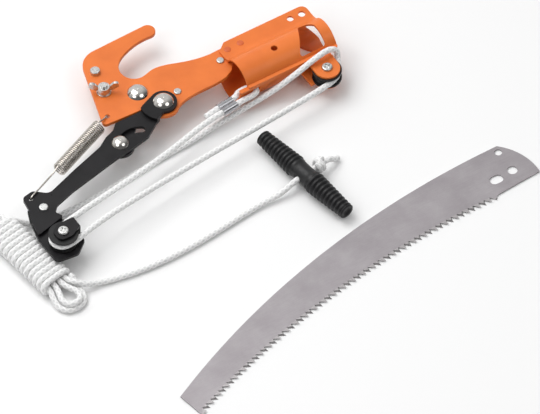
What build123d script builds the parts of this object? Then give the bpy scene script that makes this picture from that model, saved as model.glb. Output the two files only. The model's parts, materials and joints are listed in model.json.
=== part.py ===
from build123d import *
import math
import os

# Rope-operated pole pruner head with its detachable curved saw blade.
# Working frame: X runs along the pole, from the hook to the mouth of the socket, Z is up and the table
# is Z = 0. The lever's pivot is X = 0, Y = 0. At the end every piece moves to the common origin, which is
# the bottom centre of the bounding box of everything except the rope and what hangs on it.

# driving dimensions, in mm
pole_diameter = 30.0
pole_clearance = 0.4          # radial, pole in socket
shell_wall = 1.8
shell_axis_drop = 5.5         # the pole's axis lies this far behind the flange plane
plate_thickness = 3.0
blade_thickness = 3.0
lever_thickness = 3.0
layer_gap = 0.3               # between plates that slide over each other
rope_diameter = 5.0
rope_gap = 0.25               # rope to pulley groove
groove_radius = 7.0
pulley_rim_radius = 12.0
pulley_rim_wall = 2.3         # rim beside the groove
pulley_width = rope_diameter + 2 * pulley_rim_wall
pulley_wall_gap = 4.0         # pulley rim to the socket's wall
pulley_side_gap = 0.3
screw_diameter = 5.0
bush_wall = 1.25
running_clearance = 0.05      # radial, turning fits
bracket_thickness = 2.5
pivot_spacing_x, pivot_spacing_y = -11.2, 21.3   # blade pivot from lever pivot
cam_pin_x, cam_pin_y = -50.9, -16.6              # cam pin on the blade's tail, blade open
pivot_shank_radius = 4.0
cam_pin_radius = 3.0
cam_slot_clearance = 0.15     # each side of the pin
lever_stroke = 68.0           # degrees, open to closed
blade_stroke = 60.0
saw_thickness = 1.2
saw_stud_radius = 4.0
saw_bolt_radius = 3.0
saw_hole_clearance = 0.25
tooth_count = 62
tooth_depth = 4.8
tooth_lean = 0.9              # share of the pitch from a tip to the foot of the next tooth's steep face
handle_length = 103.0
handle_radius = 9.5

# levels above the table
socket_inner = pole_diameter / 2 + pole_clearance
socket_outer = socket_inner + shell_wall
flange_z = shell_axis_drop + socket_outer
axis_z = flange_z - shell_axis_drop
plate_z = flange_z - plate_thickness
blade_z = plate_z - layer_gap - blade_thickness
strap_z = flange_z + layer_gap
flange_top = flange_z + shell_wall
pole_y = -5.5
pole_seat_x = 82.0            # the pole goes in as far as this
seat_relief = 0.5             # beyond it the tube is this much wider
edge_round = 0.6              # rounded edges of the stamped plates

made = {}
cords = {}


def keep(piece, name):
    piece.label = name
    made[name] = piece


def keep_cord(piece, name):
    piece.label = name
    cords[name] = piece


def dome(radius, height):
    """Half-outline of a rivet's domed head, on the XZ plane, foot at the origin."""
    with BuildSketch(Plane.XZ) as outline:
        with BuildLine():
            ThreePointArc((0, height), (radius * 0.72, height * 0.66), (radius, 0))
            Line((radius, 0), (0, 0))
            Line((0, 0), (0, height))
        make_face()
    return outline.sketch


def dome_rivet(centre, head_z, head_radius, head_height, shank_radius, shank_foot, back_radius, back_height):
    """Rivet with a domed head above head_z and a flat back head under shank_foot."""
    with BuildPart(Plane.XY) as rivet:
        add(dome(head_radius, head_height).moved(Location((centre[0], centre[1], head_z))))
        revolve(axis=Axis((centre[0], centre[1], 0), (0, 0, 1)))
        with BuildSketch(Plane.XY.offset(shank_foot - back_height)):
            with Locations(centre):
                Circle(shank_radius)
        extrude(amount=head_z - shank_foot + back_height)
        if back_height > 0:
            with BuildSketch(Plane.XY.offset(shank_foot - back_height)):
                with Locations(centre):
                    Circle(back_radius)
            extrude(amount=back_height)
            chamfer(rivet.faces().sort_by(Axis.Z)[0].edges(), 0.5)
    return rivet.part


# ---------------------------------------------------------------- hook plate
lever_pivot = (0.0, 0.0)
blade_pivot = (pivot_spacing_x, pivot_spacing_y)
cam_pin = (cam_pin_x, cam_pin_y)
lobe_radius = 13.2
plate_low_edge = 3.6
hook_tip_radius = 6.4
hook_tip = (29.8, 72.9)
spring_plate_hole = (-45.0, 12.5)
spring_hole_radius = 2.0
saw_stud = (-29.4, 57.2)
saw_bolt = (-34.1, 36.0)
stop_pin = (16.3, 4.9)
flat_rivet_radius = 2.0
shell_left = 66.5
rear_left = 58.8
joggle_x = 97.0
mouth_x = 151.0
tang_low = pole_y + socket_outer + 0.4   # the plate's tang ends just above the tube
neck_top = 25.6
socket_pin = (62.8, tang_low + 2.5)
countersink_radius = 6.0
pivot_clearance = running_clearance

lobe_start = (-math.sqrt(lobe_radius**2 - plate_low_edge**2), plate_low_edge)
lobe_end_angle = math.radians(-44)
lobe_end = (lobe_radius * math.cos(lobe_end_angle), lobe_radius * math.sin(lobe_end_angle))
lobe_mid = (lobe_radius * math.cos(math.radians(240)), lobe_radius * math.sin(math.radians(240)))
tip_top = (hook_tip[0], hook_tip[1] + hook_tip_radius)
tip_low = (hook_tip[0] - 1.2, hook_tip[1] - hook_tip_radius + 0.1)
tip_front = (hook_tip[0] + hook_tip_radius, hook_tip[1] - 0.4)

with BuildPart() as hook_plate:
    with BuildSketch(Plane.XY.offset(plate_z)):
        with BuildLine():
            FilletPolyline(tip_top, (-32.1, 77.6), (-53.0, 5.6), lobe_start, radius=[18.0, 3.0])
            ThreePointArc(lobe_start, lobe_mid, lobe_end)
            Spline(lobe_end, (17.0, -6.0), (25.5, -4.6), (38.0, -4.2), (58.0, -2.6))
            Polyline((58.0, -2.6), (66.0, 1.5), (74.0, tang_low), (joggle_x - shell_wall - 0.3, tang_low),
                     (joggle_x - shell_wall - 0.3, neck_top), (66.0, neck_top))
            Spline((66.0, neck_top), (49.2, 26.6), (35.5, 30.2), (21.3, 35.0), (10.0, 35.8), (-0.7, 33.6),
                   (-8.2, 37.0), (-11.8, 45.8), (-8.6, 54.8), (4.2, 62.9), (16.0, 66.2), tip_low)
            ThreePointArc(tip_low, tip_front, tip_top)
        make_face()
        with Locations(spring_plate_hole):
            Circle(spring_hole_radius, mode=Mode.SUBTRACT)
        with Locations(blade_pivot, lever_pivot):
            Circle(pivot_shank_radius, mode=Mode.SUBTRACT)
        with Locations(saw_stud, saw_bolt):
            Circle(saw_bolt_radius, mode=Mode.SUBTRACT)
        with Locations(stop_pin, socket_pin):
            Circle(flat_rivet_radius, mode=Mode.SUBTRACT)
    extrude(amount=plate_thickness)
    fillet(hook_plate.faces().sort_by(Axis.Z)[-1].outer_wire().edges(), edge_round)
    # the lever's rivet ends flush in a countersink, so that the blade's tail can pass behind it
    with BuildSketch(Plane.XY.offset(plate_z)):
        with Locations(lever_pivot):
            Circle(countersink_radius)
    extrude(amount=countersink_radius - pivot_shank_radius, taper=45, mode=Mode.SUBTRACT)
keep(hook_plate.part, "hook_plate")

# ---------------------------------------------------------------- socket shells
top_edge = 28.5
rear_top_edge = tang_low + 7.9
low_edge = pole_y - socket_outer - 1.4
window_right = 142.0
ear_x = 131.0
ear_y = pole_y - socket_outer - pulley_rim_radius - pulley_wall_gap
ear_radius = 10.6
bolt_hole_x = 101.5
bolt_hole_radius = 2.8
hang_hole = (144.2, 20.8)
hang_hole_radius = 3.0
tag_hole = (133.6, 21.4)
tag_hole_radius = 2.8
crease_radius = 9.0
rope_hole_x = 74.0
rope_hole_z = 16.8
rope_hole_radius = 3.3
pulley_axis = (ear_x, ear_y)
socket_pulley_top = flange_z - pulley_side_gap
socket_pulley_z = socket_pulley_top - pulley_width / 2
rear_ear_top = socket_pulley_top - pulley_width - pulley_side_gap
rear_ear_thickness = 2.0


def arc_band(outer, inner, plane_x, length, above):
    """Half of the socket's tube from plane_x on: the part above the flange plane, or the part below it."""
    with BuildPart() as band:
        with BuildSketch(Plane.YZ.offset(plane_x)):
            with Locations((pole_y, axis_z)):
                Circle(outer)
                Circle(inner, mode=Mode.SUBTRACT)
            side = 1 if above else -1
            with Locations((pole_y, flange_z - side * 50)):
                Rectangle(100, 100, mode=Mode.SUBTRACT)
        extrude(amount=length)
    return band.part


with BuildPart() as front_shell:
    add(arc_band(socket_outer, socket_inner, shell_left, mouth_x - shell_left, True))
    with BuildSketch(Plane.XY.offset(flange_z)):
        with BuildLine():
            FilletPolyline((shell_left, pole_y + socket_inner), (shell_left, 22.0), (74.5, top_edge),
                           (mouth_x, top_edge), (mouth_x, pole_y + socket_inner), radius=[1.5, 1.5, 5.5])
            Line((mouth_x, pole_y + socket_inner), (shell_left, pole_y + socket_inner))
        make_face()
        with BuildLine():
            FilletPolyline((shell_left, pole_y - socket_inner + 1.5), (shell_left, low_edge),
                           (mouth_x, low_edge), (mouth_x, pole_y - socket_inner + 1.5), radius=[1.0, 2.0])
            Line((mouth_x, pole_y - socket_inner + 1.5), (shell_left, pole_y - socket_inner + 1.5))
        make_face()
        with Locations((ear_x, ear_y)):
            Circle(ear_radius)
        with Locations((ear_x, (ear_y + low_edge) / 2 + 0.5)):
            Rectangle(2 * ear_radius, low_edge - ear_y + 1.0)
    extrude(amount=shell_wall)
    # the flange runs into the tube in a wide curve
    crease_y = pole_y + math.sqrt(socket_outer**2 - (flange_top - axis_z)**2)
    crease = front_shell.edges().filter_by(Axis.X).sort_by_distance((shell_left, crease_y, flange_top))[0]
    fillet(crease, crease_radius)
    # the inside of the tube stays open
    with BuildSketch(Plane.YZ.offset(shell_left)):
        with Locations((pole_y, axis_z)):
            Circle(socket_inner)
    extrude(amount=mouth_x - shell_left, mode=Mode.SUBTRACT)
    with BuildSketch(Plane.YZ.offset(shell_left)):
        with Locations((pole_y, axis_z)):
            Circle(socket_inner + seat_relief)
    extrude(amount=pole_seat_x - shell_left, mode=Mode.SUBTRACT)
    # window behind the mouth band
    with BuildSketch(Plane.XY.offset(flange_z)):
        with BuildLine():
            FilletPolyline((124.0, -8.0), (117.5, low_edge + 4.4), (window_right, low_edge + 4.4),
                           (window_right, -1.0), (138.5, 3.5), (130.5, 5.5), (124.0, -8.0),
                           radius=[2.0, 1.5, 3.0, 3.0, 2.0, 2.0])
        make_face()
    extrude(amount=socket_outer, mode=Mode.SUBTRACT)
    with BuildSketch(Plane.XY.offset(flange_z)):
        with Locations((bolt_hole_x, pole_y)):
            Circle(bolt_hole_radius)
        with Locations(hang_hole):
            Circle(hang_hole_radius)
        with Locations(tag_hole):
            Circle(tag_hole_radius)
        with Locations(pulley_axis):
            Circle(screw_diameter / 2)
    extrude(amount=socket_outer, mode=Mode.SUBTRACT)
keep(front_shell.part, "socket_front_shell")

rear_end_deep = 151.0
rear_end_flange = 139.0
with BuildPart() as rear_shell:
    add(arc_band(socket_outer, socket_inner, rear_left, rear_end_deep - rear_left, False))
    # flange against the front shell, and the stretch stepped down under the hook plate
    with BuildSketch(Plane.XY.offset(flange_z - shell_wall)):
        with Locations(((joggle_x - shell_wall + rear_end_deep) / 2, (pole_y + socket_inner + rear_top_edge) / 2)):
            Rectangle(rear_end_deep - joggle_x + shell_wall, rear_top_edge - pole_y - socket_inner)
        with Locations(((rear_left + rear_end_deep) / 2, (pole_y - socket_inner + low_edge) / 2)):
            Rectangle(rear_end_deep - rear_left, pole_y - socket_inner - low_edge)
    extrude(amount=shell_wall)
    with BuildSketch(Plane.XY.offset(plate_z - shell_wall)):
        with Locations(((rear_left + joggle_x) / 2, (pole_y + socket_inner + rear_top_edge) / 2)):
            Rectangle(joggle_x - rear_left, rear_top_edge - pole_y - socket_inner)
    extrude(amount=shell_wall)
    with BuildSketch(Plane.XY.offset(plate_z - shell_wall)):
        with Locations((joggle_x - shell_wall / 2, (pole_y + socket_inner + rear_top_edge) / 2)):
            Rectangle(shell_wall, rear_top_edge - pole_y - socket_inner)
    extrude(amount=plate_thickness + shell_wall)
    # pulley ear on the wall
    with BuildSketch(Plane.XY.offset(rear_ear_top - rear_ear_thickness)):
        with Locations((ear_x, ear_y)):
            Circle(ear_radius)
        with Locations((ear_x - 2.2, (ear_y + pole_y - socket_inner) / 2)):
            Rectangle(2 * ear_radius + 4.4, pole_y - socket_inner - ear_y)
    extrude(amount=rear_ear_thickness)
    # room for the hook plate, and the open inside of the tube
    with BuildSketch(Plane.XY.offset(plate_z)):
        with Locations(((rear_left + joggle_x - shell_wall) / 2 - 10, pole_y + socket_outer)):
            Rectangle(joggle_x - shell_wall - rear_left + 20, socket_outer * 1.2)
    extrude(amount=plate_thickness, mode=Mode.SUBTRACT)
    with BuildSketch(Plane.YZ.offset(rear_left)):
        with Locations((pole_y, axis_z)):
            Circle(socket_inner)
    extrude(amount=rear_end_deep - rear_left, mode=Mode.SUBTRACT)
    with BuildSketch(Plane.YZ.offset(rear_left)):
        with Locations((pole_y, axis_z)):
            Circle(socket_inner + seat_relief)
    extrude(amount=pole_seat_x - rear_left, mode=Mode.SUBTRACT)
    # slanted end: shorter at the flange than at the back of the tube
    with BuildSketch(Plane.XZ.offset(-pole_y)):
        with BuildLine():
            Polyline((rear_end_flange, flange_z + 1), (rear_end_deep + 1, axis_z - socket_outer * 0.75),
                     (rear_end_deep + 1, flange_z + 1), (rear_end_flange, flange_z + 1))
        make_face()
    extrude(amount=60, both=True, mode=Mode.SUBTRACT)
    # window in the back of the tube
    with BuildSketch(Plane.XY):
        with BuildLine():
            FilletPolyline((126.0, pole_y), (126.0, pole_y + 11), (133.0, pole_y + 11), (142.5, pole_y + 3),
                           (142.5, pole_y - 3), (133.0, pole_y - 11), (126.0, pole_y - 11), (126.0, pole_y - 1),
                           radius=2.0)
            Line((126.0, pole_y - 1), (126.0, pole_y))
        make_face()
    extrude(amount=axis_z, mode=Mode.SUBTRACT)
    with BuildSketch(Plane.XY):
        with Locations((bolt_hole_x, pole_y)):
            Circle(bolt_hole_radius)
        with Locations(socket_pin):
            Circle(flat_rivet_radius)
        with Locations(pulley_axis):
            Circle(screw_diameter / 2)
    extrude(amount=flange_z, mode=Mode.SUBTRACT)
    # hole in the wall that the rope's loop comes out of
    with BuildSketch(Plane.XZ.offset(-pole_y)):
        with Locations((rope_hole_x, rope_hole_z)):
            Circle(rope_hole_radius)
    extrude(amount=socket_outer + 5, mode=Mode.SUBTRACT)
keep(rear_shell.part, "socket_rear_shell")

# ---------------------------------------------------------------- rivets and studs of the frame
back_head = 2.0
keep(dome_rivet(blade_pivot, flange_z, 8.7, 3.8, pivot_shank_radius, blade_z - layer_gap, 5.5, back_head),
     "blade_pivot_rivet")

with BuildPart() as lever_rivet:
    add(dome(8.5, 3.7).moved(Location((0, 0, strap_z + lever_thickness + layer_gap))))
    revolve(axis=Axis.Z)
    with BuildSketch(Plane.XY.offset(plate_z)):
        Circle(pivot_shank_radius)
    extrude(amount=strap_z + lever_thickness + layer_gap - plate_z)
    with BuildSketch(Plane.XY.offset(plate_z)):
        Circle(countersink_radius)
    extrude(amount=countersink_radius - pivot_shank_radius, taper=45)
keep(lever_rivet.part, "lever_pivot_rivet")

flat_head_radius = 3.2
flat_head = 1.2
with BuildPart() as stop_rivet:
    with BuildSketch(Plane.XY.offset(blade_z)):
        with Locations(stop_pin):
            Circle(flat_head_radius)
    extrude(amount=plate_z - blade_z)
    with BuildSketch(Plane.XY.offset(plate_z)):
        with Locations(stop_pin):
            Circle(flat_rivet_radius)
    extrude(amount=plate_thickness)
    with BuildSketch(Plane.XY.offset(flange_z)):
        with Locations(stop_pin):
            Circle(flat_head_radius)
    extrude(amount=flat_head)
    fillet(stop_rivet.faces().sort_by(Axis.Z)[-1].edges(), 0.8)
keep(stop_rivet.part, "blade_stop_rivet")

with BuildPart() as socket_rivet:
    with BuildSketch(Plane.XY.offset(plate_z - shell_wall - flat_head)):
        with Locations(socket_pin):
            Circle(flat_head_radius - 0.6)
    extrude(amount=flat_head)
    with BuildSketch(Plane.XY.offset(plate_z - shell_wall)):
        with Locations(socket_pin):
            Circle(flat_rivet_radius)
    extrude(amount=shell_wall + plate_thickness)
    with BuildSketch(Plane.XY.offset(flange_z)):
        with Locations(socket_pin):
            Circle(flat_head_radius)
    extrude(amount=flat_head)
    fillet(socket_rivet.faces().sort_by(Axis.Z)[-1].edges(), 0.8)
keep(socket_rivet.part, "socket_rivet")

stud_height = 3.4
with BuildPart() as stud:
    with BuildSketch(Plane.XY.offset(plate_z)):
        with Locations(saw_stud):
            Circle(saw_bolt_radius)
    extrude(amount=plate_thickness)
    with BuildSketch(Plane.XY.offset(flange_z)):
        with Locations(saw_stud):
            Circle(saw_stud_radius)
    extrude(amount=stud_height)
    chamfer(stud.faces().sort_by(Axis.Z)[-1].edges(), 0.4)
keep(stud.part, "saw_locating_stud")

bolt_top = flange_z + 9.0
washer_thickness = 1.2
washer_radius = 6.0
bolt_head_height = 2.4
with BuildPart() as saw_bolt_part:
    with BuildSketch(Plane.XY.offset(plate_z - bolt_head_height)):
        with Locations(saw_bolt):
            Circle(washer_radius)
    extrude(amount=bolt_head_height)
    with BuildSketch(Plane.XY.offset(plate_z)):
        with Locations(saw_bolt):
            Circle(saw_bolt_radius)
    extrude(amount=bolt_top - plate_z)
    chamfer(saw_bolt_part.faces().sort_by(Axis.Z)[-1].edges(), 0.6)
keep(saw_bolt_part.part, "saw_clamp_bolt")

with BuildPart() as washer:
    with BuildSketch(Plane.XY.offset(flange_z)):
        with Locations(saw_bolt):
            Circle(washer_radius)
            Circle(saw_bolt_radius + 0.2, mode=Mode.SUBTRACT)
    extrude(amount=washer_thickness)
keep(washer.part, "saw_clamp_washer")

# wing nut: conical hub and two raised wings
nut_foot = flange_z + washer_thickness + 0.1
nut_hub_height = 5.5
wing_turn = -28.0
wing_half_thickness = 1.1
with BuildPart() as wing_nut:
    with BuildSketch(Plane.XY.offset(nut_foot)):
        with Locations(saw_bolt):
            Circle(5.4)
    extrude(amount=nut_hub_height, taper=8)
    wing_plane = Plane((saw_bolt[0], saw_bolt[1], nut_foot),
                       x_dir=(math.cos(math.radians(wing_turn)), math.sin(math.radians(wing_turn)), 0),
                       z_dir=(math.sin(math.radians(wing_turn)), -math.cos(math.radians(wing_turn)), 0))
    with BuildSketch(wing_plane):
        for side in (1, -1):
            with BuildLine():
                FilletPolyline((side * 2.8, 0.8), (side * 8.0, 2.4), (side * 12.2, 5.8), (side * 11.8, 9.8),
                               (side * 8.0, 9.8), (side * 4.2, 5.2), (side * 2.8, 0.8),
                               radius=[0.4, 3.0, 1.8, 1.8, 3.0, 0.4])
            make_face()
    extrude(amount=wing_half_thickness, both=True)
    with BuildSketch(Plane.XY.offset(nut_foot)):
        with Locations(saw_bolt):
            Circle(saw_bolt_radius + running_clearance)
    extrude(amount=nut_hub_height, mode=Mode.SUBTRACT)
keep(wing_nut.part, "wing_nut")

# ---------------------------------------------------------------- cutting blade
tail_half = 7.5
tail_end_radius = 11.5
tail_angle = math.atan2(cam_pin_y - pivot_spacing_y, cam_pin_x - pivot_spacing_x)
tail_side = (-math.sin(tail_angle), math.cos(tail_angle))
hub_radius = 10.5
with BuildPart() as cutting_blade:
    with BuildSketch(Plane.XY.offset(blade_z)):
        with Locations(blade_pivot):
            Circle(hub_radius)
        with Locations(cam_pin):
            Circle(tail_end_radius)
        with BuildLine():
            Polyline((blade_pivot[0] + tail_half * tail_side[0], blade_pivot[1] + tail_half * tail_side[1]),
                     (cam_pin[0] + tail_half * tail_side[0], cam_pin[1] + tail_half * tail_side[1]),
                     (cam_pin[0] - tail_half * tail_side[0], cam_pin[1] - tail_half * tail_side[1]),
                     (blade_pivot[0] - tail_half * tail_side[0], blade_pivot[1] - tail_half * tail_side[1]),
                     (blade_pivot[0] + tail_half * tail_side[0], blade_pivot[1] + tail_half * tail_side[1]))
        make_face()
        with BuildLine():
            Polyline((-13.0, 31.4), (-1.0, 31.2))
            Spline((-1.0, 31.2), (12.0, 32.6), (24.0, 31.0), (36.0, 26.6), (46.5, 20.5))
            Spline((46.5, 20.5), (38.0, 13.0), (26.0, 9.6), (14.0, 8.7))
            Polyline((14.0, 8.7), (-4.0, 11.0), (-13.0, 15.0), (-13.0, 31.4))
        make_face()
        with Locations(blade_pivot):
            Circle(pivot_shank_radius + pivot_clearance, mode=Mode.SUBTRACT)
        with Locations(cam_pin):
            Circle(cam_pin_radius, mode=Mode.SUBTRACT)
    extrude(amount=blade_thickness)
keep(cutting_blade.part, "cutting_blade")
keep(dome_rivet(cam_pin, flange_z + layer_gap, 7.2, 3.6, cam_pin_radius, blade_z, 5.0, back_head), "cam_pin_rivet")

# ---------------------------------------------------------------- lever
spring_lever_hole = (-142.1, -29.0)
bracket_rivet = (-138.1, -42.0)
lever_pulley_axis = (-142.0, -79.0)
joggle_inner = 16.0
joggle_outer = 19.5
lever_z = plate_z
lever_top_edge = plate_low_edge - 0.7


def turned(point, degrees):
    """The point turned about the lever's pivot."""
    a = math.radians(degrees)
    return (point[0] * math.cos(a) - point[1] * math.sin(a), point[0] * math.sin(a) + point[1] * math.cos(a))


def pin_in_lever(share):
    """Where the cam pin stands in the lever when both have made this share of their strokes."""
    b = math.radians(blade_stroke * share)
    dx, dy = cam_pin[0] - blade_pivot[0], cam_pin[1] - blade_pivot[1]
    pin = (blade_pivot[0] + dx * math.cos(b) - dy * math.sin(b), blade_pivot[1] + dx * math.sin(b) + dy * math.cos(b))
    return turned(pin, -lever_stroke * share)


slot_points = [pin_in_lever(n / 6) for n in range(7)]
slot_half = cam_pin_radius + cam_slot_clearance

with BuildSketch() as lever_outline:
    with BuildLine():
        Polyline((-16.0, lever_top_edge), (-43.5, lever_top_edge))
        FilletPolyline((-43.5, lever_top_edge), (-49.2, -2.6), (-57.5, -5.6), (-67.5, -12.0), (-95.9, -21.0),
                       (-126.5, -31.8), (-137.0, -22.6), (-147.6, -24.6), (-149.2, -38.0), (-154.0, -50.0),
                       (-156.3, -64.5), (-129.0, -57.6), (-132.8, -51.2), (-127.5, -45.4), (-108.7, -39.4),
                       (-61.6, -28.9), (-45.8, -26.6), (-28.0, -22.8), (-15.8, -14.4), (-5.5, -9.6),
                       radius=[3.0, 3.0, 6.0, 8.0, 7.0, 5.0, 4.2, 8.0, 8.0, 1.5, 1.5, 2.5, 8.0, 12.0, 12.0,
                               12.0, 8.0, 8.0])
        Line((-5.5, -9.6), (-16.0, lever_top_edge))
    make_face()

with BuildSketch() as strap_outline:
    Circle(11.0)
    with BuildLine():
        Polyline((-5.0, 9.8), (-16.5, 5.2), (-20.5, lever_top_edge), (-22.0, -19.2), (-15.8, -14.4), (-5.5, -9.6),
                 (-5.0, 9.8))
    make_face()

with BuildPart() as lever_arm:
    with BuildSketch(Plane.XY.offset(lever_z)):
        add(lever_outline.sketch)
        Circle(joggle_inner, mode=Mode.SUBTRACT)
    extrude(amount=lever_thickness)
    with BuildSketch(Plane.XY.offset(strap_z)):
        add(strap_outline.sketch)
        Circle(joggle_outer, mode=Mode.INTERSECT)
    extrude(amount=lever_thickness)
    # the step between the two levels
    with BuildSketch(Plane.XY.offset(lever_z)):
        add(lever_outline.sketch)
        Circle(joggle_outer, mode=Mode.INTERSECT)
        Circle(joggle_inner, mode=Mode.SUBTRACT)
    extrude(amount=strap_z + lever_thickness - lever_z)
    with BuildSketch(Plane.XY.offset(lever_z)):
        Circle(pivot_shank_radius + pivot_clearance)
        with Locations(spring_lever_hole):
            Circle(spring_hole_radius)
        with Locations(bracket_rivet):
            Circle(flat_rivet_radius)
    extrude(amount=strap_z + lever_thickness - lever_z, mode=Mode.SUBTRACT)
    with BuildSketch(Plane.XY.offset(lever_z)):
        with BuildLine():
            Spline(*slot_points)
        trace(line_width=2 * slot_half)
        with Locations(slot_points[0], slot_points[-1]):
            Circle(slot_half)
    extrude(amount=lever_thickness, mode=Mode.SUBTRACT)
keep(lever_arm.part, "lever_arm")

# ---------------------------------------------------------------- lever's pulley bracket
bracket_z = lever_z - bracket_thickness
lever_pulley_foot = lever_z + pulley_side_gap
lever_pulley_z = lever_pulley_foot + pulley_width / 2 + 0.6
lever_pulley_width = pulley_width + 1.2
front_ear_z = lever_pulley_foot + lever_pulley_width + pulley_side_gap
front_ear_thickness = 2.0
bend_x = lever_pulley_axis[0] - pulley_rim_radius - 2.6
web_x = lever_pulley_axis[0] + pulley_rim_radius + 1.0 + front_ear_thickness
web_low, web_high = -80.4, -70.2

with BuildPart() as lever_bracket:
    with BuildSketch(Plane.XY.offset(bracket_z)):
        with BuildLine():
            FilletPolyline((-141.0, -35.5), (-149.8, -36.0), (-153.5, -46.0), (bend_x - 1.2, -66.0),
                           (bend_x - 0.5, -93.5), (-138.0, -95.5), (web_x + 0.7, -86.0), (web_x + 0.7, -66.0),
                           (-131.0, -57.0), (-132.0, -50.0), (-131.0, -41.0), (-133.5, -36.0), (-141.0, -35.5),
                           radius=[2.0, 2.0, 6.0, 8.0, 5.0, 5.0, 5.0, 4.0, 3.0, 4.0, 4.0, 1.0])
        make_face()
    extrude(amount=bracket_thickness)
    with BuildSketch(Plane.XY.offset(front_ear_z)):
        with BuildLine():
            FilletPolyline((web_x, web_high), (web_x, web_low), (-138.0, -86.5), (-149.0, -86.0), (-149.5, -75.0),
                           (-142.5, -70.0), (web_x, web_high), radius=[1.0, 3.0, 6.0, 5.0, 5.0, 1.0])
        make_face()
    extrude(amount=front_ear_thickness)
    # web that joins the two ears, between the rope's two strands
    with BuildSketch(Plane.XY.offset(lever_z)):
        with Locations((web_x - front_ear_thickness / 2, (web_low + web_high) / 2)):
            Rectangle(front_ear_thickness, web_high - web_low)
    extrude(amount=front_ear_z + front_ear_thickness - lever_z)
    fillet(lever_bracket.edges().filter_by(Axis.Y).sort_by(Axis.Z)[-1], front_ear_thickness * 0.8)
    with BuildSketch(Plane.XY.offset(bracket_z)):
        with Locations(lever_pulley_axis):
            Circle(screw_diameter / 2)
        with Locations(bracket_rivet):
            Circle(flat_rivet_radius)
    extrude(amount=front_ear_z + front_ear_thickness - bracket_z, mode=Mode.SUBTRACT)
keep(lever_bracket.part, "lever_pulley_bracket")

with BuildPart() as bracket_rivet_part:
    with BuildSketch(Plane.XY.offset(bracket_z - flat_head)):
        with Locations(bracket_rivet):
            Circle(flat_head_radius)
    extrude(amount=flat_head)
    with BuildSketch(Plane.XY.offset(bracket_z)):
        with Locations(bracket_rivet):
            Circle(flat_rivet_radius)
    extrude(amount=bracket_thickness + lever_thickness)
    with BuildSketch(Plane.XY.offset(lever_z + lever_thickness)):
        with Locations(bracket_rivet):
            Circle(flat_head_radius + 0.6)
    extrude(amount=flat_head)
    fillet(bracket_rivet_part.faces().sort_by(Axis.Z)[-1].edges(), 0.9)
keep(bracket_rivet_part.part, "bracket_rivet")


# ---------------------------------------------------------------- pulleys with bush, screw and nut
def pulley(centre, foot, width):
    """Grooved wheel: two rims and a round groove between them."""
    mid = foot + width / 2
    with BuildPart() as wheel:
        with BuildSketch(Plane.XZ):
            with BuildLine():
                bore = screw_diameter / 2 + bush_wall + running_clearance
                half = width / 2
                lip = 1.4
                Polyline((bore, -half), (pulley_rim_radius, -half), (pulley_rim_radius, lip - half))
                ThreePointArc((pulley_rim_radius, lip - half), (groove_radius, 0), (pulley_rim_radius, half - lip))
                Polyline((pulley_rim_radius, half - lip), (pulley_rim_radius, half), (bore, half), (bore, -half))
            make_face()
        revolve(axis=Axis.Z)
    return wheel.part.moved(Location((centre[0], centre[1], mid)))


def bush(centre, foot, height):
    with BuildPart() as sleeve:
        with BuildSketch(Plane.XY.offset(foot)):
            with Locations(centre):
                Circle(screw_diameter / 2 + bush_wall)
                Circle(screw_diameter / 2, mode=Mode.SUBTRACT)
        extrude(amount=height)
    return sleeve.part


screw_head_height = 2.2
recess_depth = 1.2
recess_length, recess_width = 5.0, 1.2
nut_height = 3.0
nut_radius = screw_diameter / 2 + 1.9
screw_tip_out = 3.6           # screw end beyond the ear that the nut bears on


def screw(centre, tip_z, head_z):
    """Pan-head screw with a cross recess, pointing down."""
    with BuildPart() as body:
        with BuildSketch(Plane.XY.offset(tip_z)):
            with Locations(centre):
                Circle(screw_diameter / 2)
        extrude(amount=head_z - tip_z)
        with BuildSketch(Plane.XY.offset(head_z)):
            with Locations(centre):
                Circle(screw_diameter * 0.88)
        extrude(amount=screw_head_height)
        fillet(body.faces().sort_by(Axis.Z)[-1].edges(), 1.2)
        with BuildSketch(Plane.XY.offset(head_z + screw_head_height)):
            with Locations(centre):
                Rectangle(recess_length, recess_width)
                Rectangle(recess_width, recess_length)
        extrude(amount=-recess_depth, mode=Mode.SUBTRACT)
    return body.part


def nut(centre, top_z):
    with BuildPart() as body:
        with BuildSketch(Plane.XY.offset(top_z - nut_height)):
            with Locations(centre):
                RegularPolygon(nut_radius, 6)
                Circle(screw_diameter / 2, mode=Mode.SUBTRACT)
        extrude(amount=nut_height)
    return body.part


keep(pulley(lever_pulley_axis, lever_pulley_foot, lever_pulley_width), "lever_pulley")
keep(bush(lever_pulley_axis, lever_z, front_ear_z - lever_z), "lever_pulley_bush")
keep(screw(lever_pulley_axis, bracket_z - screw_tip_out, front_ear_z + front_ear_thickness), "lever_pulley_screw")
keep(nut(lever_pulley_axis, bracket_z), "lever_pulley_nut")

socket_pulley_foot = socket_pulley_top - pulley_width
keep(pulley(pulley_axis, socket_pulley_foot, pulley_width), "socket_pulley")
keep(bush(pulley_axis, rear_ear_top, flange_z - rear_ear_top), "socket_pulley_bush")
keep(screw(pulley_axis, rear_ear_top - rear_ear_thickness - screw_tip_out, flange_top), "socket_pulley_screw")
keep(nut(pulley_axis, rear_ear_top - rear_ear_thickness), "socket_pulley_nut")

# ---------------------------------------------------------------- return spring
spring_wire = 1.5
spring_radius = 6.2
spring_z = plate_z + plate_thickness / 2
spring_dx = spring_lever_hole[0] - spring_plate_hole[0]
spring_dy = spring_lever_hole[1] - spring_plate_hole[1]
spring_span = math.hypot(spring_dx, spring_dy)
spring_plane = Plane((spring_plate_hole[0], spring_plate_hole[1], spring_z),
                     x_dir=(-spring_dy, spring_dx, 0), z_dir=(spring_dx, spring_dy, 0))
coil_start = 10.8
coil_length = 57.0
hook_lift = 3.0


def along_spring(distance, height):
    """A point above the line between the spring's two holes."""
    share = distance / spring_span
    return (spring_plate_hole[0] + spring_dx * share, spring_plate_hole[1] + spring_dy * share, spring_z + height)


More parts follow.
